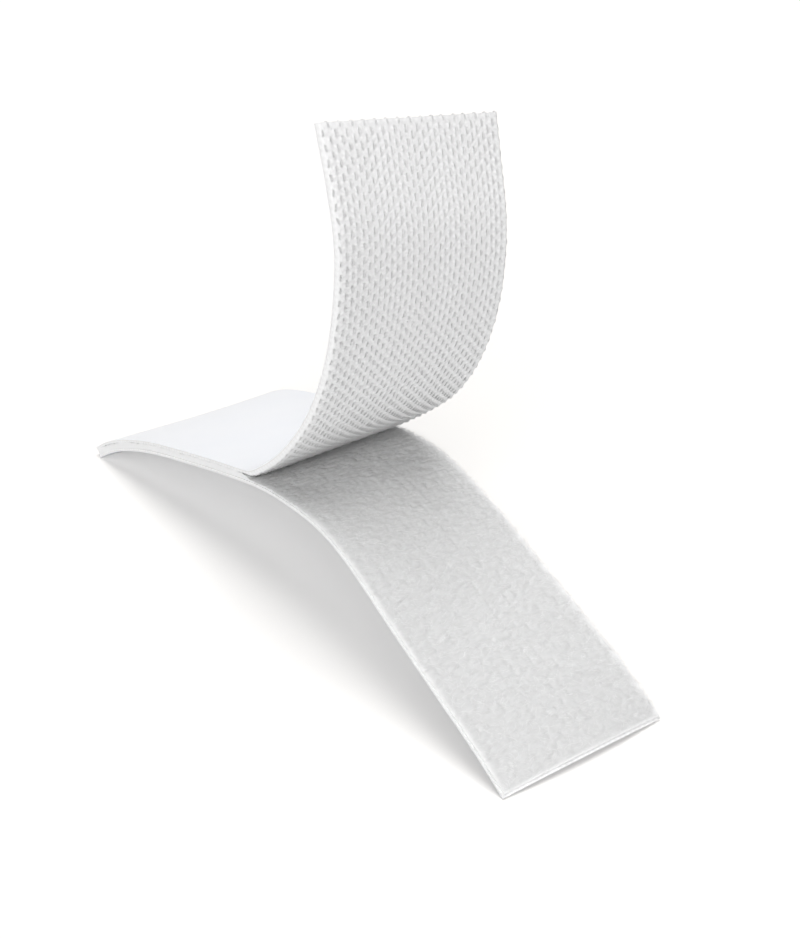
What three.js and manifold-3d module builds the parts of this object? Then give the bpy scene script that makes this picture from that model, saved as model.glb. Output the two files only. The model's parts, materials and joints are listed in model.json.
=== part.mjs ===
// A mated pair of hook and loop tape strips, peeled half way apart.
// Millimetres, +Z up, +X along the strips from the mated end to the loop strip's free end.

import * as THREE from 'three';
import { mergeVertices } from 'three/addons/utils/BufferGeometryUtils.js';
import Module from 'manifold-3d';

const wasm = await Module();
wasm.setup();

// Both strips are cut to one length from tape of one width.
const STRIP_WIDTH = 25;
const STRIP_LENGTH = 100;

// Layers of the loop strip, from its back to its face.
const LOOP_LINER = 0.08;
const LOOP_ADHESIVE = 0.12;
const LOOP_GROUND = 0.2;
const PILE_HEIGHT = 0.25;

// Layers of the hook strip, from its face to its back.
const HOOK_RISE = 0.65;
const HOOK_ROOT = 0.1;
const HOOK_GROUND = 0.15;
const HOOK_ADHESIVE = 0.12;
const HOOK_LINER = 0.08;

// The hook tips end just above the pile that they catch.
const TIP_CLEARANCE = 0.05;

// Hooks: one bent strand each, in staggered rows across the strip.
const ROW_PITCH = 2.5;
const HOOKS_PER_ROW = 8;
const STRAND_RADIUS = 0.12;
const CROOK_REACH = 0.36;
const CROOK_DROP = 0.24;
const STRAND_STEPS = 4;
const ROOT_DEPTH = 0.05;

// The links of a strip meet with a fine seam, where the strip flexes.
const SEAM_GAP = 0.4;

// Lengths along the strips. They are mated over the heel and the bond, and their tails are free.
const HEEL_LENGTH = 20;
const BOND_LENGTH = 25;
const TAIL_LENGTH = STRIP_LENGTH - HEEL_LENGTH - BOND_LENGTH;

// The loop strip's tail bends over at its crest, and runs down to the floor in two links.
const CREST_LENGTH = 15;
const SLOPE_LENGTH = (TAIL_LENGTH - CREST_LENGTH) / 2;

// The hook strip's tail lifts off, and curls up in three links. The last one ends straight.
const LIFT_LENGTH = 10;
const CURL_LENGTH = (TAIL_LENGTH - LIFT_LENGTH) / 3;
const TIP_BEND = 5;

// Shape of the strips at rest. A link is a run of arcs, and an arc has its length and the heading at
// its end, in degrees above the floor. The hook strip's tail leaves the mated stack at a sharp fold.
const HEEL_HEADING = 37;
const BOND_LINKS = [
  { name: 'heel', arcs: [{ length: HEEL_LENGTH, heading: 18 }] },
  { name: 'bond', arcs: [{ length: BOND_LENGTH, heading: 14.5 }] },
];
const SLOPE_HEADING = -24.5;
const LOOP_TAIL_LINKS = [
  { name: 'tail_1', arcs: [{ length: CREST_LENGTH, heading: -11 }] },
  { name: 'tail_2', arcs: halves(SLOPE_LENGTH, SLOPE_HEADING, SLOPE_HEADING) },
  { name: 'tail_3', arcs: halves(SLOPE_LENGTH, SLOPE_HEADING, -32) },
];
const PEEL_FOLD = 22;
const TIP_HEADING = 111;
const HOOK_TAIL_LINKS = [
  { name: 'tail_1', arcs: [{ length: LIFT_LENGTH, heading: 43 }] },
  { name: 'tail_2', arcs: [{ length: CURL_LENGTH, heading: 71 }] },
  { name: 'tail_3', arcs: [{ length: CURL_LENGTH, heading: 97 }] },
  {
    name: 'tail_4',
    arcs: [
      { length: TIP_BEND, heading: TIP_HEADING },
      { length: CURL_LENGTH - TIP_BEND, heading: TIP_HEADING },
    ],
  },
];

// Heights above the loop strip's back, through the mated stack.
const LOOP_THICKNESS = LOOP_LINER + LOOP_ADHESIVE + LOOP_GROUND + PILE_HEIGHT;
const HOOK_FACE = LOOP_THICKNESS + TIP_CLEARANCE + HOOK_RISE;
const HOOK_BACKING = HOOK_ROOT + HOOK_GROUND + HOOK_ADHESIVE + HOOK_LINER;
const STACK_THICKNESS = HOOK_FACE + HOOK_BACKING;

const LOOP_LAYERS = [
  { name: 'loop_liner', thickness: LOOP_LINER },
  { name: 'loop_adhesive', thickness: LOOP_ADHESIVE },
  { name: 'loop_ground', thickness: LOOP_GROUND },
  { name: 'loop_pile', thickness: PILE_HEIGHT },
];
const HOOK_LAYERS = [
  { name: 'hook_field', thickness: HOOK_ROOT },
  { name: 'hook_ground', thickness: HOOK_GROUND },
  { name: 'hook_adhesive', thickness: HOOK_ADHESIVE },
  { name: 'hook_liner', thickness: HOOK_LINER },
];

const liner = new THREE.MeshStandardMaterial({ color: 0xf4f6fb, roughness: 0.35 });
const adhesive = new THREE.MeshStandardMaterial({ color: 0xf0ede2, roughness: 0.5 });
const weave = new THREE.MeshStandardMaterial({ color: 0xececed, roughness: 0.85 });
const nylon = new THREE.MeshStandardMaterial({ color: 0xe8e9ea, roughness: 0.45 });
const pile = new THREE.MeshStandardMaterial({ color: 0xe9e9e8, roughness: 0.95 });
const MATERIALS = {
  loop_liner: liner,
  loop_adhesive: adhesive,
  loop_ground: weave,
  loop_pile: pile,
  hook_field: nylon,
  hook_ground: weave,
  hook_adhesive: adhesive,
  hook_liner: liner,
};

// Two arcs of equal length, each with the heading at its end.
function halves(length, middleHeading, endHeading) {
  return [
    { length: length / 2, heading: middleHeading },
    { length: length / 2, heading: endHeading },
  ];
}

// A flat facet of a strip's profile in the XZ plane.
function makeFacet(start, length, heading, rows) {
  const along = new THREE.Vector2(Math.cos(heading), Math.sin(heading));
  const normal = new THREE.Vector2(-along.y, along.x);
  const end = start.clone().addScaledVector(along, length);
  return { start, end, length, heading, along, normal, rows };
}

// The point at a distance along a facet and at a height above it.
function pointOn(facet, distance, height) {
  return facet.start.clone().addScaledVector(facet.along, distance).addScaledVector(facet.normal, height);
}

// The corner between two facets, at a height that keeps both faces parallel to their facets.
function mitre(before, after, height) {
  const halfTurn = (after.heading - before.heading) / 2;
  const direction = before.normal.clone().rotateAround(new THREE.Vector2(), halfTurn);
  return after.start.clone().addScaledVector(direction, height / Math.cos(halfTurn));
}

// A bent arc has a facet for each row of hooks, and a straight one has a single facet.
function traceArc(start, fromHeading, arc, tilt) {
  const rows = Math.max(1, Math.round(arc.length / ROW_PITCH));
  const toHeading = THREE.MathUtils.degToRad(arc.heading) - tilt;
  const count = toHeading === fromHeading ? 1 : rows;
  const facets = [];
  let point = start;
  for (let i = 0; i < count; i++) {
    const heading = fromHeading + ((toHeading - fromHeading) * (i + 0.5)) / count;
    const facet = makeFacet(point, arc.length / count, heading, rows / count);
    facets.push(facet);
    point = facet.end;
  }
  return { facets, end: point, heading: toHeading };
}

function traceLinks(start, startHeading, links, tilt) {
  let point = start;
  let heading = startHeading;
  return links.map((link) => {
    const facets = [];
    for (const arc of link.arcs) {
      const traced = traceArc(point, heading, arc, tilt);
      facets.push(...traced.facets);
      point = traced.end;
      heading = traced.heading;
    }
    return { name: link.name, facets, end: point, heading };
  });
}

// The loop strip bears on its two ends, so its profile is tilted until both meet the floor.
function traceLoopStrip(tilt) {
  const heading = THREE.MathUtils.degToRad(HEEL_HEADING) - tilt;
  return traceLinks(new THREE.Vector2(), heading, [...BOND_LINKS, ...LOOP_TAIL_LINKS], tilt);
}

// A line that follows a link at a height, drawn back from each end that meets another link.
function offsetLine(link, height) {
  const { facets, seams } = link;
  const last = facets[facets.length - 1];
  const startTrim = seams.start ? SEAM_GAP / 2 : 0;
  const endTrim = seams.end ? SEAM_GAP / 2 : 0;
  const points = [pointOn(facets[0], startTrim, height)];
  for (let i = 1; i < facets.length; i++) {
    points.push(mitre(facets[i - 1], facets[i], height));
  }
  points.push(pointOn(last, last.length - endTrim, height));
  return points;
}

// A layer of a link: the band between two heights, extruded across the strip's width.
function layerGeometry(link, low, high) {
  const outline = [...offsetLine(link, low), ...offsetLine(link, high).reverse()];
  const band = new THREE.Shape(outline);
  const geometry = new THREE.ExtrudeGeometry(band, { depth: STRIP_WIDTH, bevelEnabled: false });
  geometry.rotateX(Math.PI / 2);
  geometry.translate(0, STRIP_WIDTH / 2, 0);
  return geometry;
}

// A hook rises from its root, bends over at the crown and ends in a short down-turned tip.
function hookGeometry() {
  const crown = HOOK_RISE - STRAND_RADIUS;
  const path = new THREE.CatmullRomCurve3([
    new THREE.Vector3(0, 0, -ROOT_DEPTH),
    new THREE.Vector3(0, 0, crown - CROOK_DROP),
    new THREE.Vector3(CROOK_REACH / 2, 0, crown),
    new THREE.Vector3(CROOK_REACH, 0, crown - CROOK_DROP),
  ]);
  const section = new THREE.Shape();
  const sides = 3;
  for (let i = 0; i < sides; i++) {
    const angle = (i * 2 * Math.PI) / sides;
    const corner = [STRAND_RADIUS * Math.cos(angle), STRAND_RADIUS * Math.sin(angle)];
    if (i === 0) section.moveTo(...corner);
    else section.lineTo(...corner);
  }
  return new THREE.ExtrudeGeometry(section, { steps: STRAND_STEPS, extrudePath: path });
}

function toSolid(geometry) {
  const bare = geometry.clone();
  bare.deleteAttribute('normal');
  bare.deleteAttribute('uv');
  const merged = mergeVertices(bare);
  const vertProperties = new Float32Array(merged.attributes.position.array);
  const triVerts = new Uint32Array(merged.index.array);
  return new wasm.Manifold(new wasm.Mesh({ numProp: 3, vertProperties, triVerts }));
}

function toGeometry(solid) {
  const mesh = solid.getMesh();
  const geometry = new THREE.BufferGeometry();
  geometry.setAttribute('position', new THREE.BufferAttribute(mesh.vertProperties, 3));
  geometry.setIndex(new THREE.BufferAttribute(mesh.triVerts, 1));
  geometry.computeVertexNormals();
  return geometry;
}

// Places of a link's hooks: rows along each facet, with alternate rows staggered by half a pitch and
// the crooks of neighbouring rows turned opposite ways.
function hookPlaces(link, face) {
  const pitch = STRIP_WIDTH / HOOKS_PER_ROW;
  const places = [];
  let row = 0;
  for (const facet of link.facets) {
    for (let i = 0; i < facet.rows; i++) {
      const foot = pointOn(facet, ((i + 0.5) * facet.length) / facet.rows, face);
      const odd = row % 2;
      const facing = odd ? -1 : 1;
      for (let column = 0; column < HOOKS_PER_ROW; column++) {
        const y = (column + 0.25 + odd / 2) * pitch - STRIP_WIDTH / 2;
        const xAxis = new THREE.Vector3(facet.along.x, 0, facet.along.y).multiplyScalar(facing);
        const zAxis = new THREE.Vector3(-facet.normal.x, 0, -facet.normal.y);
        const yAxis = new THREE.Vector3().crossVectors(zAxis, xAxis);
        const place = new THREE.Matrix4().makeBasis(xAxis, yAxis, zAxis);
        places.push(place.setPosition(foot.x, y, foot.y));
      }
      row += 1;
    }
  }
  return places;
}

// The hook field of a link: its root slice with every hook fused to it.
function hookFieldGeometry(link, low, high) {
  const hook = hookGeometry();
  const hooks = hookPlaces(link, low).map((place) => toSolid(hook.clone().applyMatrix4(place)));
  return toGeometry(wasm.Manifold.union([toSolid(layerGeometry(link, low, high)), ...hooks]));
}

// A link is a group at its hinge, which holds one mesh for each layer.
function makeLink(strip, link, layers, base) {
  const group = new THREE.Group();
  group.name = `${strip}_${link.name}`;
  let low = base;
  for (const layer of layers) {
    const high = low + layer.thickness;
    const build = layer.name === 'hook_field' ? hookFieldGeometry : layerGeometry;
    const geometry = build(link, low, high);
    geometry.translate(-link.hinge.x, 0, -link.hinge.y);
    const mesh = new THREE.Mesh(geometry, MATERIALS[layer.name]);
    mesh.name = `${layer.name}_${link.name}`;
    group.add(mesh);
    low = high;
  }
  return group;
}

// Hang a link's group on the one that carries it.
function attach(parent, parentLink, child, childLink) {
  child.position.set(childLink.hinge.x - parentLink.hinge.x, 0, childLink.hinge.y - parentLink.hinge.y);
  parent.add(child);
}

// The profiles of the two strips.
const levelStrip = traceLoopStrip(0);
const levelEnd = levelStrip[levelStrip.length - 1].end;
const tilt = Math.atan2(levelEnd.y, levelEnd.x);
const [heel, bond, ...loopTail] = traceLoopStrip(tilt);
const bondEnd = bond.facets[bond.facets.length - 1];
const peelPoint = pointOn(bondEnd, bondEnd.length, HOOK_FACE);
const peelHeading = bond.heading + THREE.MathUtils.degToRad(PEEL_FOLD);
const hookTail = traceLinks(peelPoint, peelHeading, HOOK_TAIL_LINKS, tilt);

// Each seam of a strip is a hinge line at the middle of what bends there.
function seamPoint(before, after, height) {
  return mitre(before.facets[before.facets.length - 1], after.facets[0], height);
}

const heelHinge = seamPoint(heel, bond, STACK_THICKNESS / 2);
const origin = new THREE.Vector2();

function chainLinks(links, root, height) {
  return links.map((link, i) => ({
    ...link,
    seams: { start: true, end: i < links.length - 1 },
    hinge: seamPoint(i === 0 ? root : links[i - 1], link, height),
  }));
}

const heelLink = { ...heel, seams: { start: false, end: true }, hinge: heelHinge };
const bondLink = { ...bond, seams: { start: true, end: true }, hinge: origin };
const loopLinks = chainLinks(loopTail, bond, LOOP_THICKNESS / 2);
const hookLinks = chainLinks(hookTail, bond, HOOK_BACKING / 2);

const loopBond = makeLink('loop', bondLink, LOOP_LAYERS, 0);
const loopHeel = makeLink('loop', heelLink, LOOP_LAYERS, 0);
const hookBond = makeLink('hook', bondLink, HOOK_LAYERS, HOOK_FACE);
const hookHeel = makeLink('hook', heelLink, HOOK_LAYERS, HOOK_FACE);
attach(loopBond, bondLink, loopHeel, heelLink);
attach(loopBond, bondLink, hookBond, bondLink);
attach(hookBond, bondLink, hookHeel, heelLink);

// Hang a free tail on the mated stack, each link on the one before it.
function hangTail(strip, root, links, layers) {
  let parent = root;
  let parentLink = bondLink;
  for (const link of links) {
    const group = makeLink(strip, link, layers, 0);
    attach(parent, parentLink, group, link);
    parent = group;
    parentLink = link;
  }
}

hangTail('loop', loopBond, loopLinks, LOOP_LAYERS);
hangTail('hook', hookBond, hookLinks, HOOK_LAYERS);

// The part stands on the floor with its origin under the middle of its box.
const tape = new THREE.Group();
tape.add(loopBond);
const box = new THREE.Box3().setFromObject(tape);
const middle = box.getCenter(new THREE.Vector3());
loopBond.position.set(-middle.x, -middle.y, -box.min.z);

export default tape;
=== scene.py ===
# White hook and loop tape: two mated strips, peeled half way apart, on a pale studio floor.
import json
import math

import bpy
import numpy as np
from mathutils import Matrix, Vector

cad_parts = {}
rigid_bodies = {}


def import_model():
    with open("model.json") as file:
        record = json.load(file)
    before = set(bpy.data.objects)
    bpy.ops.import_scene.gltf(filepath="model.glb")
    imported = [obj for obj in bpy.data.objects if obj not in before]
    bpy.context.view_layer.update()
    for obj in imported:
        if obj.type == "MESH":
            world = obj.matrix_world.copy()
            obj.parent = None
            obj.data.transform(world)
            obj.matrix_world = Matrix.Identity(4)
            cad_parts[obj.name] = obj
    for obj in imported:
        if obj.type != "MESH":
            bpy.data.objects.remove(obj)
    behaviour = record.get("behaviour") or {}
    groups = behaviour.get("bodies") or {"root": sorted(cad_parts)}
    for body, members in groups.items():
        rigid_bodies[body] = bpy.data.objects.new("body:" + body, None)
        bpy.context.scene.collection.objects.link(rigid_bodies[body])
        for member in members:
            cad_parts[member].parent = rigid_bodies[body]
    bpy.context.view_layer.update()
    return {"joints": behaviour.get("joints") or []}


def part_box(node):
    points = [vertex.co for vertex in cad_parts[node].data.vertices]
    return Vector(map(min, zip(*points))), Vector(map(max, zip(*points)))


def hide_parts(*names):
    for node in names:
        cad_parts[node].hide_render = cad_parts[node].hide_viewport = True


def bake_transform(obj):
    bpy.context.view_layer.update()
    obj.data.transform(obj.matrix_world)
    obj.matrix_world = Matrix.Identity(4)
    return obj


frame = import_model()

# Lengths are in millimetres, and a mesh is scaled to metres when it is made.
MM = 0.001
STRIP_WIDTH = 25.0
STRIP_LENGTH = 100.0
HEEL_LENGTH = 20.0
BOND_LENGTH = 25.0

# The strips part at this station, a length along them, and the raised pile sinks over the ease before it.
PEEL_STATION = HEEL_LENGTH + BOND_LENGTH
MATED_EASE = 3.0

# Layers of the loop strip, from its back to its face.
LOOP_LINER = 0.08
LOOP_ADHESIVE = 0.12
LOOP_GROUND = 0.2
PILE_HEIGHT = 0.25
PILE_FOOT = LOOP_LINER + LOOP_ADHESIVE + LOOP_GROUND
LOOP_THICKNESS = PILE_FOOT + PILE_HEIGHT

# Layers of the hook strip, from its face to its back.
HOOK_RISE = 0.65
TIP_CLEARANCE = 0.05
HOOK_GROUND = 0.25
HOOK_ADHESIVE = 0.12
HOOK_LINER = 0.08
HOOK_FACE = LOOP_THICKNESS + TIP_CLEARANCE + HOOK_RISE

# Headings of the strips along their middle line: stations, and degrees above the floor. Before they are
# eased, the hook strip turns up from the mated stack within the kink's length.
PEEL_KINK = 0.01
MATED_HEADINGS = [
    (0.0, 36.0), (12.0, 30.0), (20.0, 19.0), (25.0, 17.0), (38.0, 14.0), (PEEL_STATION, 13.0),
]
LOOP_HEADINGS = MATED_HEADINGS + [
    (55.0, -3.0), (60.0, -12.0), (65.0, -19.0), (70.0, -25.0), (80.0, -23.0), (90.0, -23.0),
    (STRIP_LENGTH, -32.0),
]
HOOK_HEADINGS = MATED_HEADINGS + [
    (PEEL_STATION + PEEL_KINK, 37.0), (50.0, 40.0), (57.0, 48.0), (66.0, 65.0), (70.0, 72.0),
    (76.0, 82.0), (85.0, 95.0), (88.0, 102.0), (90.0, 108.0), (STRIP_LENGTH, 110.0),
]

# The twist of the strips: how much steeper the back edge is than the middle line, in degrees.
MATED_TWIST = [(0.0, -3.5), (10.0, 6.5), (20.0, 0.5), (32.0, -1.5), (PEEL_STATION, -2.0)]
LOOP_TWIST = MATED_TWIST + [(50.0, -1.0), (57.0, -7.5), (65.0, 2.0), (80.0, 1.5), (STRIP_LENGTH, 0.0)]
HOOK_TWIST = MATED_TWIST + [
    (50.0, -0.5), (55.0, -5.5), (62.0, -2.0), (72.0, 0.0), (86.0, 2.0), (STRIP_LENGTH, -4.0)
]

# The free ends are cut a little askew, and the loop strip's end is bowed up in its middle.
LOOP_CUT_SKEW = 0.6
HOOK_CUT_SKEW = -0.6
CUT_SKEW_POWER = 8
LOOP_BOW = 0.9
BOW_LENGTH = 22.0

# The lengths over which headings and twists are eased, and the stations at which the paths are traced.
LOOP_SMOOTHING = 6.0
HOOK_SMOOTHING = 4.0
TWIST_SMOOTHING = 6.0
TRACE_STEP = 0.02
STATIONS = np.arange(round(STRIP_LENGTH / TRACE_STEP) + 1) * TRACE_STEP

# The length to each side of a hinge over which a strip would turn when it flexes; the script works out these
# points but bends nothing.
FLEX_REACH = 4.0

# The hook lattice: staggered rows, as counted in the photograph. The margin and the stagger are shares of the
# pitch of the hooks.
HOOKS_PER_ROW = 16
ROWS_PER_WIDTH = 33
HOOK_PITCH = STRIP_WIDTH / HOOKS_PER_ROW
ROW_PITCH = STRIP_WIDTH / ROWS_PER_WIDTH
HOOK_MARGIN = 0.25
ROW_STAGGER = 0.5


# Paths of the strips

def eased_angles(table, window):
    """The angles of a table at all stations, in radians, with the table's corners eased over a window."""
    at, degrees = zip(*table)
    reach = round(window / 2 / TRACE_STEP)
    raw = np.interp(STATIONS, at, np.radians(degrees))
    first = 2 * raw[0] - raw[reach:0:-1]
    last = 2 * raw[-1] - raw[-2:-reach - 2:-1]
    padded = np.concatenate([first, raw, last])
    kernel = np.ones(2 * reach + 1) / (2 * reach + 1)
    return np.convolve(padded, kernel, "valid")


def ease(share):
    """A share from 0 to 1 that starts and ends gently."""
    return share**2 * (3 - 2 * share)


def mated(station):
    """1 where the strips are mated, and 0 where they are peeled apart."""
    return ease(np.clip((PEEL_STATION - station) / MATED_EASE, 0, 1))


def running_sum(values):
    """The integral of values over the stations, from the strip's start."""
    return np.concatenate([[0], np.cumsum(TRACE_STEP * (values[1:] + values[:-1]) / 2)])


class Path:
    """A strip's middle line in the XZ plane, and the twist of the strip about it, by station."""

    def __init__(self, start, headings, twist, skew, bow=0.0, stretch=1.0):
        self.headings = headings
        self.twist = twist
        self.skew = skew
        self.bow = bow
        self.x = start[0] + running_sum(stretch * np.cos(headings))
        self.z = start[1] + running_sum(stretch * np.sin(headings))
        self.edge_x = running_sum(-twist * np.sin(headings))
        self.edge_z = running_sum(twist * np.cos(headings))

    def place(self, strip):
        """Points in the part's frame for strip coordinates: station, across and height above the path."""
        station, across, height = np.moveaxis(np.asarray(strip, float), -1, 0)
        side = 2 * across / STRIP_WIDTH
        inside = np.clip(station, 0, STRIP_LENGTH)
        inside = np.clip(inside + self.skew * side * (inside / STRIP_LENGTH) ** CUT_SKEW_POWER, 0, None)
        past = np.minimum(station, 0) + np.maximum(station - STRIP_LENGTH, 0)
        past = past + np.maximum(inside - STRIP_LENGTH, 0)
        tables = (self.x, self.z, self.edge_x, self.edge_z, self.headings, self.twist)
        x, z, edge_x, edge_z, heading, twist = (np.interp(inside, STATIONS, t) for t in tables)
        heading = heading + side * twist
        rise = np.clip((inside - STRIP_LENGTH + BOW_LENGTH) / BOW_LENGTH, 0, 1)
        height = height + self.bow * rise**2 * np.clip(1 - side**2, 0, 1)
        lean = -2 * (edge_z * np.cos(heading) - edge_x * np.sin(heading)) / STRIP_WIDTH
        x = x + side * edge_x + past * np.cos(heading) - height * np.sin(heading)
        z = z + side * edge_z + past * np.sin(heading) + height * np.cos(heading)
        return np.stack([x, across + height * lean, z], -1)

    def rest_end_on_floor(self):
        """Eases the twist of the free tail so that both corners of the askew end are level."""
        level = -self.skew * math.sin(self.headings[-1])
        free = np.clip((STATIONS - PEEL_STATION) / (STRIP_LENGTH - PEEL_STATION), 0, 1)
        self.edge_z += (level - self.edge_z[-1]) * free

    def nearest(self, x, z):
        """The station nearest to a point of the profile's plane."""
        return float(STATIONS[np.argmin(np.hypot(self.x - x, self.z - z))])


def trace_strips():
    """The paths of the two strips: the loop strip's underside, and the hook strip's face."""
    loop_turn = eased_angles(LOOP_HEADINGS, LOOP_SMOOTHING)
    tilt = math.atan2(running_sum(np.sin(loop_turn))[-1], running_sum(np.cos(loop_turn))[-1])
    loop_turn = loop_turn - tilt
    loop_twist = eased_angles(LOOP_TWIST, TWIST_SMOOTHING)
    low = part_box("loop_liner_heel")[0] / MM
    start = (low.x + LOOP_LINER * math.sin(loop_turn[0]), low.z)
    loop = Path(start, loop_turn, loop_twist, LOOP_CUT_SKEW, LOOP_BOW)
    loop.rest_end_on_floor()
    hook_turn = eased_angles(HOOK_HEADINGS, HOOK_SMOOTHING) - tilt
    hook_twist = eased_angles(HOOK_TWIST, TWIST_SMOOTHING)
    bend = np.gradient(loop_turn, TRACE_STEP)
    stretch = np.where(STATIONS < PEEL_STATION, 1 - HOOK_FACE * bend, 1)
    face = loop.place((0, 0, HOOK_FACE))
    return loop, Path((face[0], face[2]), hook_turn, hook_twist, HOOK_CUT_SKEW, stretch=stretch)


LOOP_PATH, HOOK_PATH = trace_strips()


# Mesh tools

# The direction of a strip's face is found with a step of this length off the face.
FACE_STEP = 0.01


def make_piece(name, path, strip, faces, material, sharp_angle=None):
    """A mesh from strip coordinates and a list of face arrays, each with faces of one size."""
    mesh = bpy.data.meshes.new(name)
    points = path.place(strip) * MM
    loops = np.concatenate([f.ravel() for f in faces]).astype(np.int32)
    sizes = np.concatenate([np.full(len(f), f.shape[1]) for f in faces])
    starts = np.concatenate([[0], np.cumsum(sizes)[:-1]]).astype(np.int32)
    mesh.vertices.add(len(points))
    mesh.vertices.foreach_set("co", points.astype(np.float32).ravel())
    mesh.loops.add(len(loops))
    mesh.loops.foreach_set("vertex_index", loops)
    mesh.polygons.add(len(sizes))
    mesh.polygons.foreach_set("loop_start", starts)
    mesh.polygons.foreach_set("use_smooth", np.ones(len(sizes), bool))
    mesh.update(calc_edges=True)
    mesh.validate()
    own = mesh.attributes.new("strip", "FLOAT_VECTOR", "POINT")
    own.data.foreach_set("vector", np.asarray(strip, np.float32).ravel())
    if sharp_angle is not None:
        mesh.set_sharp_from_angle(angle=math.radians(sharp_angle))
    mesh.materials.append(material)
    piece = bpy.data.objects.new(name, mesh)
    bpy.context.scene.collection.objects.link(piece)
    return piece


def soften_normals(piece, path, strip, face_side, share):
    """Leans the shading of a piece towards the face of its strip, as thick translucent threads look."""
    mesh = piece.data
    own = np.empty(3 * len(mesh.vertices), np.float32)
    mesh.vertices.foreach_get("normal", own)
    own = own.reshape(-1, 3)
    face = path.place(strip + np.array([0, 0, FACE_STEP * face_side])) - path.place(strip)
    face /= np.linalg.norm(face, axis=1, keepdims=True)
    mixed = (1 - share) * own + share * face
    mixed /= np.linalg.norm(mixed, axis=1, keepdims=True)
    mesh.normals_split_custom_set_from_vertices(mixed.tolist())


def grid_faces(rows, columns, first=0, flip=False):
    """The quads of a grid of points, row by row."""
    index = first + np.arange(rows * columns).reshape(rows, columns)
    quads = [index[:-1, :-1], index[1:, :-1], index[1:, 1:], index[:-1, 1:]]
    quads = np.stack(quads[::-1] if flip else quads, -1)
    return quads.reshape(-1, 4)


def wall_faces(low, high):
    """The quads between two closed rings of points."""
    return np.stack([low, np.roll(low, -1), np.roll(high, -1), high], -1)


def slab(span, low, high, step, columns, inset=0.0, low_relief=None, high_relief=None):
    """Strip coordinates and faces of a closed band between two heights, with reliefs on its two faces."""
    rows = max(2, round((span[1] - span[0]) / step) + 1)
    half = STRIP_WIDTH / 2 - inset
    station, across = np.meshgrid(
        np.linspace(*span, rows), np.linspace(-half, half, columns), indexing="ij"
    )
    sides = []
    for height, relief in ((low, low_relief), (high, high_relief)):
        level = np.full_like(station, height)
        if relief is not None:
            level = level + relief(station, across)
        sides.append(np.stack([station, across, level], -1).reshape(-1, 3))
    count = rows * columns
    index = np.arange(count).reshape(rows, columns)
    rim = np.concatenate([index[:-1, 0], index[-1, :-1], index[:0:-1, -1], index[0, :0:-1]])
    faces = [
        grid_faces(rows, columns, 0),
        grid_faces(rows, columns, count, flip=True),
        wall_faces(rim, rim + count)[:, ::-1],
    ]
    return np.concatenate(sides), faces


def tubes(lines, radii, side, corners, breadth=1.0):
    """Points and faces of many tubes along lines, an array of tubes by rings by coordinates."""
    count, rings, _ = lines.shape
    along = np.gradient(lines, axis=1)
    along /= np.linalg.norm(along, axis=2, keepdims=True)
    across = np.cross(along, side)
    across /= np.linalg.norm(across, axis=2, keepdims=True)
    other = breadth * np.cross(along, across)
    angle = 2 * math.pi * np.arange(corners) / corners
    ring = across[:, :, None] * np.cos(angle)[:, None] + other[:, :, None] * np.sin(angle)[:, None]
    points = lines[:, :, None] + radii[:, :, None, None] * ring
    index = np.arange(count * rings * corners).reshape(count, rings, corners)
    near, far = index[:, :-1], index[:, 1:]
    walls = np.stack([near, np.roll(near, -1, 2), np.roll(far, -1, 2), far], -1).reshape(-1, 4)
    caps = np.concatenate([index[:, 0, ::-1], index[:, -1]])
    return points.reshape(-1, 3), [walls, caps]


def value_noise(station, across, wave_along, wave_across, seed):
    """Smooth noise over a strip, from -1 to 1, with a wavelength along it and one across it."""
    cells = 256
    lattice = np.random.default_rng(seed).uniform(-1, 1, (cells, cells))
    u = np.asarray(station) / wave_along + cells
    v = (np.asarray(across) + STRIP_WIDTH) / wave_across
    i, j = np.floor(u).astype(int), np.floor(v).astype(int)
    f, g = ease(u - i), ease(v - j)

    def corner(di, dj):
        return lattice[(i + di) % cells, (j + dj) % cells]

    near = corner(0, 0) * (1 - g) + corner(0, 1) * g
    far = corner(1, 0) * (1 - g) + corner(1, 1) * g
    return near * (1 - f) + far * f


# Materials

# The pile stops short of the ground's edges and of its free end.
PILE_INSET = 0.12
PILE_END = 0.35

# Painted highlights: pale bands along the pile's front edge, back edge and free end, painted where light
# catches the cut fibre ends: an axis of the strip, and the places on it where a band starts and is full.
FRONT_EDGE_HIGHLIGHT = 0.9
BACK_EDGE_HIGHLIGHT = 1.4
END_EDGE_HIGHLIGHT = 0.9
EDGE_HIGHLIGHT_POWER = 2.0
EDGE_HIGHLIGHT_BANDS = [
    ("Y", FRONT_EDGE_HIGHLIGHT - STRIP_WIDTH / 2, PILE_INSET - STRIP_WIDTH / 2),
    ("Y", STRIP_WIDTH / 2 - BACK_EDGE_HIGHLIGHT, STRIP_WIDTH / 2 - PILE_INSET),
    ("X", STRIP_LENGTH - END_EDGE_HIGHLIGHT, STRIP_LENGTH - PILE_END),
]

# The sockets of a Mix node that mixes colours. They go by number, because the sockets of its other kinds have
# the same names.
MIX_SHARE = 0
MIX_FIRST = 6
MIX_SECOND = 7
MIX_RESULT = 2


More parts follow.
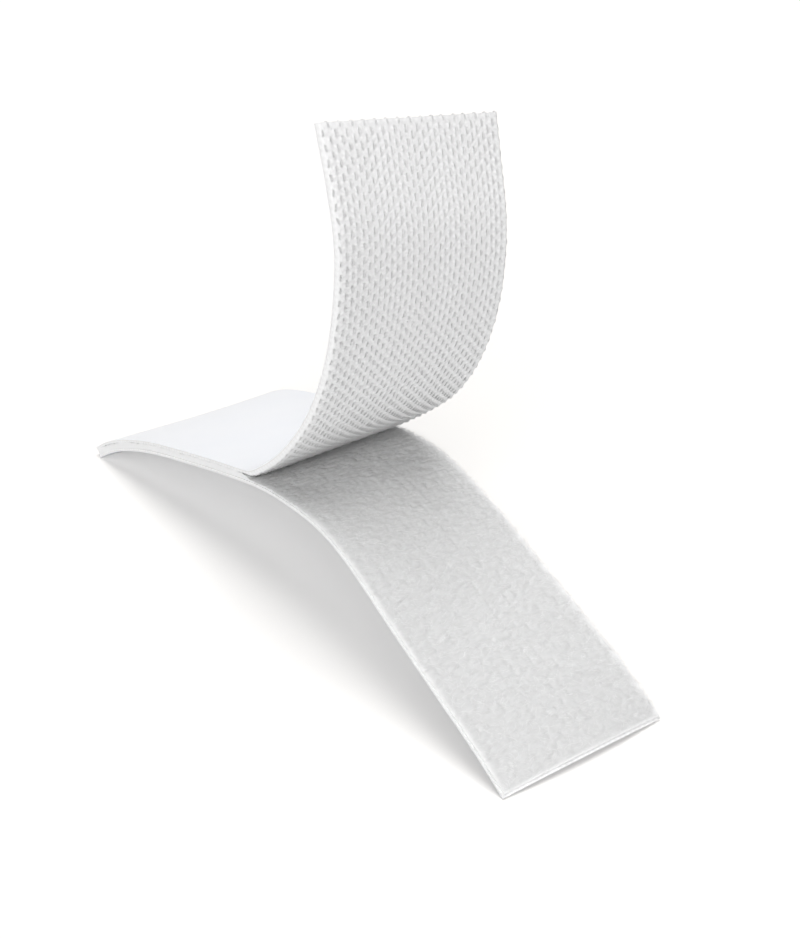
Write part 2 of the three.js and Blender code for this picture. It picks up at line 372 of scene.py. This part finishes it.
class Shader:
    """A procedural material: a Principled shader and the nodes that lead to it."""

    def __init__(self, name, **settings):
        self.material = bpy.data.materials.new(name)
        self.material.use_nodes = True
        self.tree = self.material.node_tree
        self.shader = self.tree.nodes["Principled BSDF"]
        for key, value in settings.items():
            self.shader.inputs[key.replace("_", " ")].default_value = value

    def node(self, kind, inputs=None, **settings):
        """A new node, with its inputs linked to sockets or set to values."""
        made = self.tree.nodes.new(kind)
        for key, value in settings.items():
            setattr(made, key, value)
        for key, value in (inputs or {}).items():
            if isinstance(value, bpy.types.NodeSocket):
                self.tree.links.new(value, made.inputs[key])
            else:
                made.inputs[key].default_value = value
        return made

    def strip(self, scale=(1, 1, 1)):
        """The strip coordinates of a point, in millimetres, times a scale."""
        own = self.node("ShaderNodeAttribute", attribute_name="strip")
        scaled = self.node("ShaderNodeVectorMath", {0: own.outputs["Vector"], 1: scale}, operation="MULTIPLY")
        return scaled.outputs[0]

    def noise(self, scale, detail=2.0, roughness=0.5):
        """Noise over the strip, with a scale for each axis."""
        made = self.node(
            "ShaderNodeTexNoise",
            {"Vector": self.strip(scale), "Scale": 1.0, "Detail": detail, "Roughness": roughness},
        )
        return made.outputs["Fac"]

    def ramp(self, value, stops):
        """Colours for a value from 0 to 1, from stops with a position and a colour."""
        made = self.node("ShaderNodeValToRGB", {"Fac": value})
        elements = made.color_ramp.elements
        while len(elements) < len(stops):
            elements.new(0.5)
        for element, (position, colour) in zip(elements, stops):
            element.position = position
            element.color = (*colour, 1)
        return made.outputs["Color"]

    def colour(self, value, stops):
        self.paint(self.ramp(value, stops))

    def paint(self, colour):
        self.tree.links.new(colour, self.shader.inputs["Base Color"])

    def blend(self, first, second, share):
        """A colour that goes from the first, a socket, to the second, a plain colour, with a share."""
        inputs = {MIX_SHARE: share, MIX_FIRST: first, MIX_SECOND: (*second, 1)}
        return self.node("ShaderNodeMix", inputs, data_type="RGBA").outputs[MIX_RESULT]

    def painted_edge_highlight(self):
        """Painted highlight: 1 at the strip's edges and at its free end, where light catches the ends of the
        fibres, and 0 inside.
        """
        axes = self.node("ShaderNodeSeparateXYZ", {0: self.strip()}).outputs
        total = None
        for axis, inner, outer in EDGE_HIGHLIGHT_BANDS:
            band = self.node(
                "ShaderNodeMapRange", {"Value": axes[axis], "From Min": inner, "From Max": outer},
            ).outputs[0]
            band = self.node("ShaderNodeMath", {0: band, 1: EDGE_HIGHLIGHT_POWER}, operation="POWER").outputs[0]
            if total is not None:
                band = self.node("ShaderNodeMath", {0: total, 1: band}, operation="MAXIMUM").outputs[0]
            total = band
        return total

    def roughness(self, value, low, high):
        made = self.node("ShaderNodeMapRange", {"Value": value, "To Min": low, "To Max": high})
        self.tree.links.new(made.outputs[0], self.shader.inputs["Roughness"])

    def bump(self, height, distance, strength):
        made = self.node(
            "ShaderNodeBump", {"Height": height, "Distance": distance * MM, "Strength": strength}
        )
        self.tree.links.new(made.outputs[0], self.shader.inputs["Normal"])


def grey(level, warm=0.0):
    """A near white, a little warm or cool."""
    return (level * (1 + warm), level, level * (1 - warm))


def glow_through(weight, reach):
    """Settings that let light spread below a surface, over a reach in millimetres."""
    return {"Subsurface_Weight": weight, "Subsurface_Radius": (1, 1, 1), "Subsurface_Scale": reach * MM}


def pile_material():
    made = Shader("pile_felt", Sheen_Weight=0.1, Sheen_Roughness=0.6)
    wrinkle = made.noise((2.2, 0.9, 1.0), detail=4.0, roughness=0.6)
    felt = made.ramp(wrinkle, [(0.25, grey(0.61)), (0.5, grey(0.66)), (0.75, grey(0.69))])
    # The felt is painted paler along its edges and free end: a painted highlight.
    made.paint(made.blend(felt, grey(0.9), made.painted_edge_highlight()))
    made.roughness(wrinkle, low=0.85, high=1.0)
    made.bump(made.noise((3.5, 1.6, 1.0), detail=6.0, roughness=0.7), distance=0.12, strength=0.6)
    return made.material


def fuzz_material():
    made = Shader("pile_fibre", Roughness=0.75)
    made.colour(made.noise((0.7, 0.7, 2.0)), [(0.3, grey(0.8)), (0.7, grey(0.94))])
    return made.material


def hook_material():
    made = Shader("hook_nylon", Specular_IOR_Level=0.25, **glow_through(weight=0.8, reach=0.7))
    tone = made.noise((0.4, 0.4, 1.0), detail=3.0)
    made.colour(tone, [(0.3, grey(0.92)), (0.7, grey(0.96))])
    made.roughness(tone, low=0.5, high=0.65)
    return made.material


def weave_material():
    made = Shader("ground_weave", Sheen_Weight=0.1)
    waves = [
        made.node(
            "ShaderNodeTexWave",
            {"Vector": made.strip(), "Scale": scale, "Distortion": 0.6, "Detail": 1.0, "Detail Scale": 2.0},
            bands_direction=direction,
        ).outputs["Fac"]
        for direction, scale in (("X", 0.42), ("Y", 0.36))
    ]
    weave = made.node("ShaderNodeMath", {0: waves[0], 1: waves[1]}, operation="MULTIPLY").outputs[0]
    made.colour(weave, [(0.0, grey(0.88)), (0.5, grey(0.93)), (1.0, grey(0.95))])
    made.roughness(weave, low=0.65, high=0.85)
    made.bump(weave, distance=0.05, strength=0.5)
    return made.material


def liner_material():
    made = Shader("liner_film", Specular_IOR_Level=0.45)
    haze = made.noise((0.12, 0.12, 1.0), detail=4.0)
    made.colour(haze, [(0.3, (0.9, 0.915, 0.95)), (0.7, (0.925, 0.935, 0.96))])
    made.roughness(haze, low=0.28, high=0.42)
    made.bump(made.noise((0.9, 0.9, 1.0), detail=3.0), distance=0.02, strength=0.25)
    return made.material


def adhesive_material():
    made = Shader("adhesive_film", Specular_IOR_Level=0.4)
    tack = made.noise((1.5, 1.5, 6.0), detail=4.0)
    made.colour(tack, [(0.3, grey(0.8, warm=0.02)), (0.7, grey(0.86, warm=0.02))])
    made.roughness(tack, low=0.4, high=0.65)
    made.bump(tack, distance=0.04, strength=0.4)
    return made.material


PILE = pile_material()
FUZZ = fuzz_material()
NYLON = hook_material()
WEAVE = weave_material()
LINER = liner_material()
ADHESIVE = adhesive_material()


# Pieces of the strips

def strip_pieces(strip, path):
    """The spans of a strip's pieces, one for each hinge, cut half way between hinges, between two rows."""
    joints = [j for j in frame["joints"] if j["type"] == "hinge" and j["child"].startswith(strip)]
    stations = [path.nearest(j["pos_m"][0] / MM, j["pos_m"][2] / MM) for j in joints]
    order = np.argsort(stations)
    stations = [stations[i] for i in order]
    middles = [(a + b) / 2 for a, b in zip(stations, stations[1:])]
    cuts = [0.0, *[round(middle / ROW_PITCH) * ROW_PITCH for middle in middles], STRIP_LENGTH]
    pieces = []
    for number, i in enumerate(order):
        parent, child = joints[i]["parent"], joints[i]["child"]
        bodies = (child, parent) if child.endswith("heel") else (parent, child)
        span = (cuts[number], cuts[number + 1])
        pieces.append({"number": number + 1, "span": span, "hinge": stations[number], "bodies": bodies})
    return pieces


def settle(piece, part, path, layer):
    """Bakes a piece's placement and hides the layer's nodes that it stands for; the ends of its flex about
    the hinge are worked out but not used.
    """
    ends = [path.place((part["hinge"] + reach, 0, 0)) * MM for reach in (-FLEX_REACH, FLEX_REACH)]
    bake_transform(piece)
    if layer is not None:
        links = [body.split("_", 1)[1] for body in part["bodies"]]
        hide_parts(*[f"{layer}_{link}" for link in links])
    return piece


# The mesh steps of the smooth layers along the strip, their columns of points across it, the angle in degrees
# from which an edge looks sharp, and how far the adhesive lies in from the edges.
FILM_STEP = 0.5
FILM_COLUMNS = 26
SHARP_ANGLE = 40.0
ADHESIVE_INSET = 0.02


def film(layer, path, part, heights, material, inset=0.0):
    """A smooth film layer of a strip, between two heights."""
    strip, faces = slab(part["span"], *heights, FILM_STEP, FILM_COLUMNS, inset)
    piece = make_piece(f"{layer}_{part['number']}", path, strip, faces, material, SHARP_ANGLE)
    return settle(piece, part, path, layer)


# The ground's mesh and threads. A bed of yarn stands round the feet of the hooks, a little higher near them.
WEAVE_STEP = ROW_PITCH / 4
WEAVE_COLUMNS = 8 * HOOKS_PER_ROW + 1
LOOP_GROUND_STEP = ROW_PITCH / 2
WEAVE_RELIEF = 0.02
WARP_PITCH = ROW_PITCH / 2
WEFT_PITCH = HOOK_PITCH / 4
BED_LOW = 0.4
BED_HIGH = 0.44
BED_EDGE = 0.5


def from_edge(across):
    """0 at the edges of the strip, and 1 from the bed's edge inwards."""
    share = np.clip((STRIP_WIDTH / 2 - np.abs(across)) / BED_EDGE, 0, 1)
    return share * (2 - share)


def weave_relief(station, across):
    """The ground's threads, and the bed round the hooks where the strips are apart, which hangs below 0."""
    from_side = across + STRIP_WIDTH / 2
    warp = np.sin(math.pi * station / WARP_PITCH)
    weft = np.cos(math.pi * from_side / WEFT_PITCH)
    near = np.sin(2 * math.pi * from_side / HOOK_PITCH) * np.sin(math.pi * station / ROW_PITCH)
    bed = BED_LOW + (BED_HIGH - BED_LOW) * (0.5 + 0.5 * near)
    return WEAVE_RELIEF * warp * weft - bed * from_edge(across) * (1 - mated(station))


def hook_ground(part):
    """The woven ground of one piece of the hook strip."""
    strip, faces = slab(part["span"], 0, HOOK_GROUND, WEAVE_STEP, WEAVE_COLUMNS, low_relief=weave_relief)
    piece = make_piece(f"hook_ground_{part['number']}", HOOK_PATH, strip, faces, WEAVE, SHARP_ANGLE)
    return settle(piece, part, HOOK_PATH, "hook_ground")


def loop_ground(part):
    """The woven ground of one piece of the loop strip."""
    low = LOOP_LINER + LOOP_ADHESIVE
    strip, faces = slab(part["span"], low, PILE_FOOT, LOOP_GROUND_STEP, FILM_COLUMNS)
    piece = make_piece(f"loop_ground_{part['number']}", LOOP_PATH, strip, faces, WEAVE, SHARP_ANGLE)
    return settle(piece, part, LOOP_PATH, "loop_ground")


# A hook is an arch of monofilament, cut open on one leg, of which a stub is left. Its lines have places along
# the strip and heights, and a height below 0 stands out of the hook strip's face.
HOOK_LINE = [
    (-0.36, 0.05), (-0.42, -0.16), (-0.36, -0.37), (-0.16, -0.51), (0.1, -0.53), (0.32, -0.4), (0.4, -0.22),
]
STUB_LINE = [(0.4, 0.05), (0.4, -0.05), (0.42, -0.13)]
HOOK_RADIUS = 0.115
HOOK_BREADTH = 1.25
HOOK_SOFTNESS = 0.9
HOOK_RINGS = 11
HOOK_CORNERS = 7
STUB_RINGS = 3
STUB_CORNERS = 6

# How hooks differ: the spreads of their lean and turn, in radians, and of their rise, and the lower rise of
# those along the edges and the free end.
HOOK_SEED = 100
LEAN_SPREAD = 0.06
TURN_SPREAD = 0.1
RISE_SPREAD = 0.03
EDGE_HOOK_RISE = 0.7


def curve_through(points, rings):
    """A smooth line through points, by Catmull-Rom spans, sampled at even steps of its parameter."""
    points = np.asarray(points, float)
    ends = [2 * points[0] - points[1], *points, 2 * points[-1] - points[-2]]
    p = np.stack(ends)
    t = np.linspace(0, len(points) - 1, rings)
    i = np.minimum(t.astype(int), len(points) - 2)
    f = (t - i)[:, None]
    a, b, c, d = p[i], p[i + 1], p[i + 2], p[i + 3]
    return 0.5 * (2 * b + (c - a) * f + (2 * a - 5 * b + 4 * c - d) * f**2 + (3 * b - a - 3 * c + d) * f**3)


def hook_lattice():
    """The feet of all hooks: staggered rows, with the crooks of neighbouring rows turned opposite ways."""
    rows = round(STRIP_LENGTH / ROW_PITCH)
    row, column = np.meshgrid(np.arange(rows), np.arange(HOOKS_PER_ROW), indexing="ij")
    station = (row + 0.5) * ROW_PITCH
    across = (column + HOOK_MARGIN + ROW_STAGGER * (row % 2)) * HOOK_PITCH - STRIP_WIDTH / 2
    facing = np.where(row % 2, -1.0, 1.0)
    return np.stack([station, across, facing], -1).reshape(-1, 3)


def hook_threads(feet, lean, turn, rise, line, rings, corners):
    """Points and faces of threads that follow a line from each of the feet, by its lean, turn and rise."""
    outline = curve_through(line, rings)
    x = outline[:, 0] * feet[:, 2:3]
    height = outline[:, 1] * rise[:, None]
    y = x * np.sin(turn)[:, None] - height * np.sin(lean)[:, None]
    x = x * np.cos(turn)[:, None]
    lines = np.stack([x, y, height], -1)
    side = np.stack([-np.sin(turn) * feet[:, 2], np.cos(turn), 0 * turn], -1)[:, None, :]
    radii = np.full((len(feet), rings), HOOK_RADIUS)
    points, faces = tubes(lines, radii, side, corners, HOOK_BREADTH)
    return points + np.repeat(feet * [1, 1, 0], rings * corners, axis=0), faces


def hooks(part, lattice):
    """The hooks of one piece of the hook strip."""
    low, high = part["span"]
    feet = lattice[(lattice[:, 0] >= low) & (lattice[:, 0] < high)]
    rng = np.random.default_rng(HOOK_SEED + part["number"])
    lean = rng.normal(0, LEAN_SPREAD, len(feet))
    turn = rng.normal(0, TURN_SPREAD, len(feet))
    rise = rng.normal(1, RISE_SPREAD, len(feet))
    at_side = np.abs(feet[:, 1]) > (STRIP_WIDTH - HOOK_PITCH) / 2
    at_end = feet[:, 0] > STRIP_LENGTH - ROW_PITCH
    rise *= np.where(at_side | at_end, EDGE_HOOK_RISE, 1)
    crooks, crook_faces = hook_threads(feet, lean, turn, rise, HOOK_LINE, HOOK_RINGS, HOOK_CORNERS)
    stubs, stub_faces = hook_threads(feet, lean, turn, rise, STUB_LINE, STUB_RINGS, STUB_CORNERS)
    faces = crook_faces + [f + len(crooks) for f in stub_faces]
    strip = np.concatenate([crooks, stubs])
    piece = make_piece(f"hook_field_{part['number']}", HOOK_PATH, strip, faces, NYLON)
    soften_normals(piece, HOOK_PATH, strip, -1, HOOK_SOFTNESS)
    return settle(piece, part, HOOK_PATH, "hook_field")


# The pile stands higher where it is caught in the hooks.
PILE_STEP = 0.14
PILE_COLUMNS = 130
PILE_SHARP_ANGLE = 60.0
MATED_RISE = 0.7

# Forms of the pile's relief: a height, the wavelengths along and across the strip, and a seed. The whole
# relief sinks so that the pile keeps about its height.
CREASE = (0.16, (0.55, 1.5), 11)
LUMP = (0.1, (0.4, 0.7), 12)
GRAIN = (0.025, (0.25, 0.35), 13)
SWELL = (0.015, (7.0, 9.0), 14)
RELIEF_SINK = 0.09

# The pile's back edge is ragged: the band that it reaches into, the size of the gaps, and the two noises that
# make them, each a share, a wavelength along the strip and a seed.
RAGGED_BAND = 1.5
RAGGED_GAP = 0.3
RAGGED_MEAN = 0.3
RAGGED_MOST = 2.0
RAGGED_NOISES = [(1.0, 0.6, 15), (0.6, 0.3, 16)]

# The wavelength across the strip of a noise that is used only along it.
LONE_WAVE = 1.0


def relief_form(form, station, across):
    """One form of the pile's relief, from minus its height to its height."""
    height, waves, seed = form
    return height * value_noise(station, across, *waves, seed)


def pile_relief(station, across):
    """A crepe of small rounded lumps, longest across the strip, with sharp creases between them."""
    rise = MATED_RISE * mated(station)
    for form in (CREASE, LUMP):
        rise = rise + np.abs(relief_form(form, station, across))
    for form in (GRAIN, SWELL):
        rise = rise + relief_form(form, station, across)
    return rise - RELIEF_SINK


def ragged_gap(station):
    """How far the pile's back edge is drawn in at a station, in gaps."""
    gap = RAGGED_MEAN
    for share, wave, seed in RAGGED_NOISES:
        gap = gap + share * value_noise(station, 0, wave, LONE_WAVE, seed)
    return np.clip(gap, 0, RAGGED_MOST)


def pile(part):
    """The pile of one piece of the loop strip."""
    span = (part["span"][0], min(part["span"][1], STRIP_LENGTH - PILE_END))
    strip, faces = slab(
        span, PILE_FOOT, LOOP_THICKNESS, PILE_STEP, PILE_COLUMNS, PILE_INSET, high_relief=pile_relief
    )
    station = strip[:, 0]
    near_back = np.clip((strip[:, 1] - STRIP_WIDTH / 2 + RAGGED_BAND) / RAGGED_BAND, 0, 1)
    strip[:, 1] -= RAGGED_GAP * near_back**2 * ragged_gap(station) * (1 - mated(station))
    piece = make_piece(f"loop_pile_{part['number']}", LOOP_PATH, strip, faces, PILE, PILE_SHARP_ANGLE)
    return settle(piece, part, LOOP_PATH, "loop_pile")


# Loose fibres of the pile, as three-sided threads.
FUZZ_SEED = 200
FIBRE_RINGS = 6
FIBRE_CORNERS = 3
FIBRE_SIDE = (0.3, 0.5, 0.8)
FIBRE_SOFTNESS = 0.8

# Fibres that lie on the pile: their number and thickness, their lengths, the spreads of their direction and
# curl in radians, the most that they arch up and how far they sink in.
LYING_PER_MM2 = 2.5
LYING_RADIUS = 0.012
LYING_LENGTHS = (0.5, 1.6)
LYING_SPREAD = 0.6
LYING_CURL = 1.2
LYING_ARCH = 0.04
LYING_SINK = 0.01

# Fibres along the front and the back edge: their number, the depth that they start from, and their thickness.
FRONT = -1
BACK = 1
EDGE_PER_MM = {FRONT: 8.0, BACK: 60.0}
EDGE_DEPTH = {FRONT: 0.25, BACK: 1.3}
EDGE_INSET = 0.02
EDGE_RADIUS = 0.016

# Lengths of the edge fibres, which are longer in a tuft, the spreads of their direction and curl in radians,
# the rise of their tips as a share of the length and how far they sink in.
EDGE_SHORTEST = 0.06
EDGE_MEAN = 0.18
EDGE_LONGEST = 1.2
EDGE_SPREAD = 0.7
EDGE_CURL = 1.4
EDGE_RISE = (-0.2, 0.7)
EDGE_SINK = 0.08
TUFT_LEAST = 0.4
TUFT_WAVE = 0.9
TUFT_SEED = 31


def wander(rng, direction, length, curl):
    """Steps along and across the strip of fibres that set out in a direction and curl, from 0."""
    t = np.linspace(0, 1, FIBRE_RINGS)
    heading = direction[:, None] + rng.normal(0, curl, len(direction))[:, None] * t
    step = length[:, None] / (FIBRE_RINGS - 1)
    along = np.cumsum(np.cos(heading) * step, 1)
    across = np.cumsum(np.sin(heading) * step, 1)
    return along - along[:, :1], across - across[:, :1], t


def lying_fibres(rng, low, high):
    """Fibres that lie on the pile, mostly across the strip."""
    count = int((high - low) * STRIP_WIDTH * LYING_PER_MM2)
    direction = math.pi / 2 + rng.normal(0, LYING_SPREAD, count)
    length = rng.uniform(*LYING_LENGTHS, count)
    along, across, t = wander(rng, direction, length, LYING_CURL)
    station = rng.uniform(low, high, count)[:, None] + along
    side = rng.uniform(-STRIP_WIDTH / 2, STRIP_WIDTH / 2, count)[:, None] + across
    side = np.clip(side, -STRIP_WIDTH / 2, STRIP_WIDTH / 2)
    arch = rng.uniform(0.0, LYING_ARCH, count)[:, None] * 4 * t * (1 - t)
    height = LOOP_THICKNESS + pile_relief(station, side) + arch - LYING_SINK
    return np.stack([station, side, height], -1)


def edge_fibres(rng, low, high, edge):
    """Fibres that stand out past an edge of the pile: many short ones, and a few long strays."""
    count = int((high - low) * EDGE_PER_MM[edge])
    tuft = 0.5 + 0.5 * value_noise(rng.uniform(low, high, count), edge, TUFT_WAVE, LONE_WAVE, TUFT_SEED)
    station = rng.uniform(low, high, count)
    length = EDGE_SHORTEST + rng.exponential(EDGE_MEAN, count) * (TUFT_LEAST + tuft)
    length = np.minimum(length, EDGE_LONGEST)
    direction = rng.normal(0, EDGE_SPREAD, count) + math.pi / 2
    along, across, t = wander(rng, direction, length, EDGE_CURL)
    depth = EDGE_DEPTH[edge] * rng.uniform(0, 1, count) ** 2
    foot = edge * (STRIP_WIDTH / 2 - EDGE_INSET - depth)
    rise = rng.uniform(*EDGE_RISE, count) * length
    height = LOOP_THICKNESS + pile_relief(station, foot) - rng.uniform(0.0, EDGE_SINK, count)
    return np.stack([
        station[:, None] + along,
        foot[:, None] + edge * across,
        height[:, None] + rise[:, None] * t,
    ], -1)


def fuzz(part):
    """The loose fibres of one piece of the loop strip."""
    low, high = part["span"]
    rng = np.random.default_rng(FUZZ_SEED + part["number"])
    groups = [
        (lying_fibres(rng, low, high), LYING_RADIUS),
        (edge_fibres(rng, low, high, FRONT), EDGE_RADIUS),
        (edge_fibres(rng, low, high, BACK), EDGE_RADIUS),
    ]
    lines = np.concatenate([group for group, _ in groups])
    lines[:, :, 0] = np.clip(lines[:, :, 0], low, high)
    radii = np.concatenate([np.full(group.shape[:2], radius) for group, radius in groups])
    points, faces = tubes(lines, radii, np.array(FIBRE_SIDE), FIBRE_CORNERS)
    piece = make_piece(f"loop_fuzz_{part['number']}", LOOP_PATH, points, faces, FUZZ)
    soften_normals(piece, LOOP_PATH, points, 1, FIBRE_SOFTNESS)
    return settle(piece, part, LOOP_PATH, None)


def build_hook_strip():
    """All pieces of the hook strip, each with its layers on the ground."""
    lattice = hook_lattice()
    inner = (HOOK_GROUND, HOOK_GROUND + HOOK_ADHESIVE)
    outer = (inner[1], inner[1] + HOOK_LINER)
    for part in strip_pieces("hook", HOOK_PATH):
        ground = hook_ground(part)
        on_it = [
            hooks(part, lattice),
            film("hook_adhesive", HOOK_PATH, part, inner, ADHESIVE, ADHESIVE_INSET),
            film("hook_liner", HOOK_PATH, part, outer, LINER),
        ]


def build_loop_strip():
    """All pieces of the loop strip, each with its layers on the ground."""
    outer = (0.0, LOOP_LINER)
    inner = (LOOP_LINER, LOOP_LINER + LOOP_ADHESIVE)
    for part in strip_pieces("loop", LOOP_PATH):
        ground = loop_ground(part)
        on_it = [
            pile(part),
            fuzz(part),
            film("loop_adhesive", LOOP_PATH, part, inner, ADHESIVE, ADHESIVE_INSET),
            film("loop_liner", LOOP_PATH, part, outer, LINER),
        ]


build_hook_strip()
build_loop_strip()


# Studio

# Half the floor's width, in metres, its colour for light that bounces, and its colour and glow where it is
# seen.
FLOOR_HALF = 3.0
FLOOR_COLOUR = (0.82, 0.82, 0.82)
FLOOR_SEEN_COLOUR = (0.865, 0.85, 0.83)
FLOOR_GLOW = 0.19
WHITE = (1, 1, 1, 1)

# The sky's light at the horizon, what is added to it overhead, and how fast that falls off.
SKY_LOW = 0.01
SKY_HIGH = 0.01
SKY_POWER = 2.0

# The lamps: their names, shares of a full light, widths in degrees and the directions that they shine from.
LAMPS = [
    ("soft_key", 0.75, 46.0, (0.0, 0.07, 1.0)),
    ("camera_fill", 0.29, 34.0, (0.58, -0.58, 0.57)),
    ("low_fill", 0.28, 40.0, (0.7, -0.7, 0.17)),
    ("front_fill", 0.13, 40.0, (0.0, -0.97, 0.24)),
]


def seen_directly(nodes, links):
    """1 where a ray comes from the camera, or by gloss or through glass, and 0 for light that bounces."""
    path = nodes.new("ShaderNodeLightPath")
    total = path.outputs["Is Camera Ray"]
    for name in ("Is Glossy Ray", "Is Transmission Ray"):
        either = nodes.new("ShaderNodeMath")
        either.operation = "MAXIMUM"
        links.new(total, either.inputs[0])
        links.new(path.outputs[name], either.inputs[1])
        total = either.outputs[0]
    return total


def make_floor():
    """A plain pale floor that keeps the part's shadow."""
    mesh = bpy.data.meshes.new("floor")
    corners = [(-1, -1), (1, -1), (1, 1), (-1, 1)]
    mesh.from_pydata([(x * FLOOR_HALF, y * FLOOR_HALF, 0) for x, y in corners], [], [(0, 1, 2, 3)])
    floor = bpy.data.objects.new("floor", mesh)
    bpy.context.scene.collection.objects.link(floor)
    material = bpy.data.materials.new("floor_paper")
    material.use_nodes = True
    nodes, links = material.node_tree.nodes, material.node_tree.links
    nodes.clear()
    seen = seen_directly(nodes, links)
    tone = nodes.new("ShaderNodeValToRGB")
    for element, colour in zip(tone.color_ramp.elements, (FLOOR_COLOUR, FLOOR_SEEN_COLOUR)):
        element.color = (*colour, 1)
    links.new(seen, tone.inputs["Fac"])
    paper = nodes.new("ShaderNodeBsdfDiffuse")
    links.new(tone.outputs[0], paper.inputs["Color"])
    glow = nodes.new("ShaderNodeEmission")
    glow.inputs["Color"].default_value = WHITE
    strength = nodes.new("ShaderNodeMath")
    strength.operation = "MULTIPLY"
    strength.inputs[1].default_value = FLOOR_GLOW
    links.new(seen, strength.inputs[0])
    links.new(strength.outputs[0], glow.inputs["Strength"])
    both = nodes.new("ShaderNodeAddShader")
    links.new(paper.outputs[0], both.inputs[0])
    links.new(glow.outputs[0], both.inputs[1])
    out = nodes.new("ShaderNodeOutputMaterial")
    links.new(both.outputs[0], out.inputs["Surface"])
    mesh.materials.append(material)


def sky_strength(nodes, links):
    """The sky's light, strongest overhead."""
    direction = nodes.new("ShaderNodeTexCoord").outputs["Generated"]
    parts = nodes.new("ShaderNodeSeparateXYZ")
    links.new(direction, parts.inputs[0])
    value = parts.outputs["Z"]
    steps = [("MAXIMUM", 0.0), ("POWER", SKY_POWER), ("MULTIPLY", SKY_HIGH), ("ADD", SKY_LOW)]
    for operation, number in steps:
        step = nodes.new("ShaderNodeMath")
        step.operation = operation
        step.inputs[1].default_value = number
        links.new(value, step.inputs[0])
        value = step.outputs[0]
    return value


def make_sky():
    """A weak sky that is seen as plain white."""
    world = bpy.data.worlds.new("studio")
    bpy.context.scene.world = world
    world.use_nodes = True
    nodes, links = world.node_tree.nodes, world.node_tree.links
    nodes.clear()
    light = nodes.new("ShaderNodeBackground")
    light.inputs["Color"].default_value = WHITE
    links.new(sky_strength(nodes, links), light.inputs["Strength"])
    white = nodes.new("ShaderNodeBackground")
    white.inputs["Color"].default_value = WHITE
    white.inputs["Strength"].default_value = 1.0
    mix = nodes.new("ShaderNodeMixShader")
    links.new(seen_directly(nodes, links), mix.inputs[0])
    links.new(light.outputs[0], mix.inputs[1])
    links.new(white.outputs[0], mix.inputs[2])
    out = nodes.new("ShaderNodeOutputWorld")
    links.new(mix.outputs[0], out.inputs["Surface"])


def make_lamp(name, share, width, origin):
    """A soft lamp far away: with a share of 1 it lights a white surface that faces it to white."""
    data = bpy.data.lights.new(name, "SUN")
    data.energy = share * math.pi
    data.angle = math.radians(width)
    lamp = bpy.data.objects.new(name, data)
    lamp.rotation_mode = "QUATERNION"
    lamp.rotation_quaternion = Vector(origin).to_track_quat("Z", "Y")
    bpy.context.scene.collection.objects.link(lamp)


# The camera as fitted to the strips' corners and edges in the photograph: its place and sensor are in
# millimetres, its angles in degrees, and its clipping distances in metres.
IMAGE_HEIGHT_PX = 938
FOCAL_PX = 1402.0
SENSOR = 36.0
CAMERA_PLACE = (126.8, -100.3, 109.2)
CAMERA_AZIMUTH = -49.2
CAMERA_DROP = 29.75
CAMERA_ROLL = 3.8
CLIP_NEAR = 0.005
CLIP_FAR = 20.0


def make_camera():
    """The camera at the photograph's angle."""
    data = bpy.data.cameras.new("camera")
    data.sensor_width = SENSOR
    data.lens = FOCAL_PX * SENSOR / IMAGE_HEIGHT_PX
    data.clip_start = CLIP_NEAR
    data.clip_end = CLIP_FAR
    azimuth, drop, roll = (math.radians(a) for a in (CAMERA_AZIMUTH, CAMERA_DROP, CAMERA_ROLL))
    ahead = Vector((math.sin(azimuth) * math.cos(drop), math.cos(azimuth) * math.cos(drop), -math.sin(drop)))
    level = Vector((math.cos(azimuth), -math.sin(azimuth), 0))
    upright = level.cross(ahead)
    right = level * math.cos(roll) + upright * math.sin(roll)
    up = upright * math.cos(roll) - level * math.sin(roll)
    turn = Matrix((right, up, -ahead)).transposed().to_4x4()
    camera = bpy.data.objects.new("camera", data)
    camera.matrix_world = Matrix.Translation(Vector(CAMERA_PLACE) * MM) @ turn
    bpy.context.scene.collection.objects.link(camera)
    bpy.context.scene.camera = camera


make_floor()
make_sky()
for setting in LAMPS:
    make_lamp(*setting)
make_camera()
bpy.context.scene.view_settings.view_transform = "Standard"
